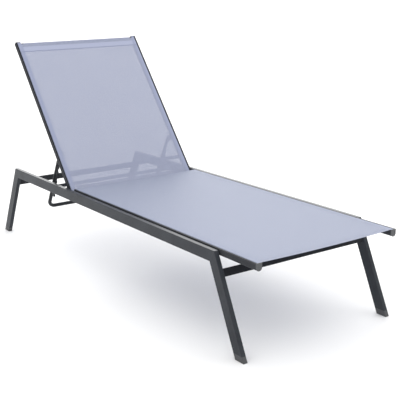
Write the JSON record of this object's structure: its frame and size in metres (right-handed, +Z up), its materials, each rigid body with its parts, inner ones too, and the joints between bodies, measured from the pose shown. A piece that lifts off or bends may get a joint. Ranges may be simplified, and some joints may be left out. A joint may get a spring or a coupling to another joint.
{
  "type": "chaise lounge",
  "caption": "Low outdoor chaise lounge with splayed tube legs, a stretched mesh seat and a reclining mesh backrest held by a swinging notched support.",
  "frame": {"origin": "on the ground at the centre of the whole object's footprint at rest", "axes": "+Z up, +Y towards the head end, +X to the right seen from the foot end looking to the head; the object is mirror-symmetric about X = 0"},
  "size_m": [0.652, 1.89, 0.8984],
  "materials": {
    "frame_coat": "matte",
    "support_coat": "matte",
    "sling_fabric": "matte",
    "cap_plastic": "matte",
    "cord_plastic": "matte",
    "bearing_plastic": "matte",
    "dark_steel": "satin"
  },
  "bodies": {
    "frame": {"side_rail_left": "frame_coat", "side_rail_right": "frame_coat", "front_leg_left": "frame_coat", "front_leg_right": "frame_coat", "rear_leg_left": "frame_coat", "rear_leg_right": "frame_coat", "front_foot_left": "cap_plastic", "front_foot_right": "cap_plastic", "rear_foot_left": "cap_plastic", "rear_foot_right": "cap_plastic", "seat_rail_left": "frame_coat", "seat_rail_right": "frame_coat", "seat_cap_front_left": "cap_plastic", "seat_cap_front_right": "cap_plastic", "seat_cap_rear_left": "cap_plastic", "seat_cap_rear_right": "cap_plastic", "seat_cord_left": "cord_plastic", "seat_cord_right": "cord_plastic", "hinge_boss_left": "frame_coat", "hinge_boss_right": "frame_coat", "hinge_pin_left": "dark_steel", "hinge_pin_right": "dark_steel", "front_crossbar": "frame_coat", "rear_crossbar": "frame_coat", "rest_bar": "frame_coat", "seat_sling": "sling_fabric", "seat_screws": "dark_steel", "seat_spacers": "frame_coat"},
    "backrest": {"back_rail_left": "frame_coat", "back_rail_right": "frame_coat", "back_cap_top_left": "cap_plastic", "back_cap_top_right": "cap_plastic", "back_cap_bottom_left": "cap_plastic", "back_cap_bottom_right": "cap_plastic", "back_cord_left": "cord_plastic", "back_cord_right": "cord_plastic", "hinge_bush_left": "bearing_plastic", "hinge_bush_right": "bearing_plastic", "support_pin_left": "dark_steel", "support_pin_right": "dark_steel", "support_washer_left": "bearing_plastic", "support_washer_right": "bearing_plastic", "back_top_tube": "frame_coat", "back_lower_tube": "frame_coat", "back_sling": "sling_fabric"},
    "support": {"support_arm_left": "support_coat", "support_arm_right": "support_coat", "support_eye_left": "support_coat", "support_eye_right": "support_coat", "ratchet_plate_left": "support_coat", "ratchet_plate_right": "support_coat", "support_bar": "support_coat"}
  },
  "joints": [
    {"name": "backrest_recline", "type": "hinge", "parent": "frame", "child": "backrest", "pos_m": [0, 0.287, 0.3206], "axis": [1, 0, 0], "range_deg": [-51.7, 20]},
    {"name": "support_swing", "type": "hinge", "parent": "backrest", "child": "support", "pos_m": [0, 0.39257, 0.45428], "axis": [1, 0, 0], "range_deg": [-10, 25.85]}
  ],
  "couplings": [
    {"joint": "support_swing", "follows": "backrest_recline", "ratio": -0.5}
  ]
}
